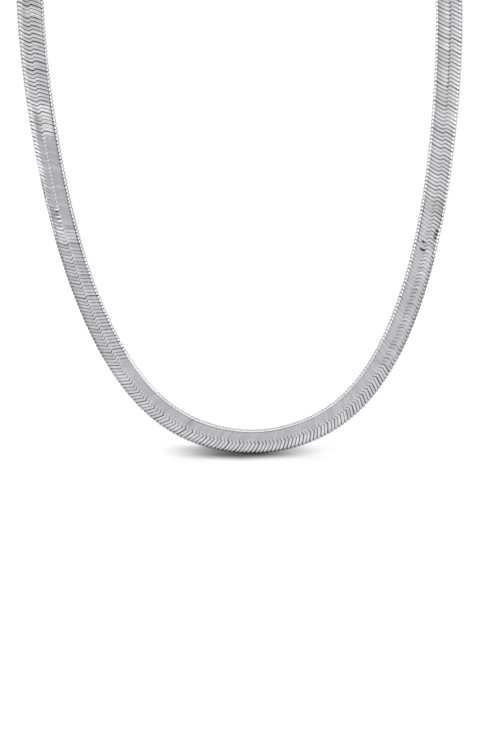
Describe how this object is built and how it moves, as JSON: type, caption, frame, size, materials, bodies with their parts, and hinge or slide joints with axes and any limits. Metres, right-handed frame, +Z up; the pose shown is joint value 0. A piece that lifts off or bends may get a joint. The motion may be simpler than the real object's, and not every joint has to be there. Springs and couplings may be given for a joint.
{
  "type": "herringbone chain necklace",
  "caption": "Flat herringbone neck chain in polished silver metal, hanging as a closed loop, with flat end caps, jump rings and a plain clasp at the nape.",
  "frame": {"origin": "on the neck's axis, level with the middle of the back of the loop", "axes": "+Z up, -Y the front as worn, +X to the right of someone who looks at the front"},
  "size_m": [0.117, 0.0656, 0.1672],
  "materials": {
    "silver_links": "polished silver links, flattened",
    "silver_fittings": "polished silver"
  },
  "bodies": {
    "root": {"herringbone_band": "silver_links", "end_cap_left": "silver_fittings", "end_cap_right": "silver_fittings", "jump_ring_left": "silver_fittings", "jump_ring_right": "silver_fittings", "clasp": "silver_fittings"}
  },
  "joints": []
}
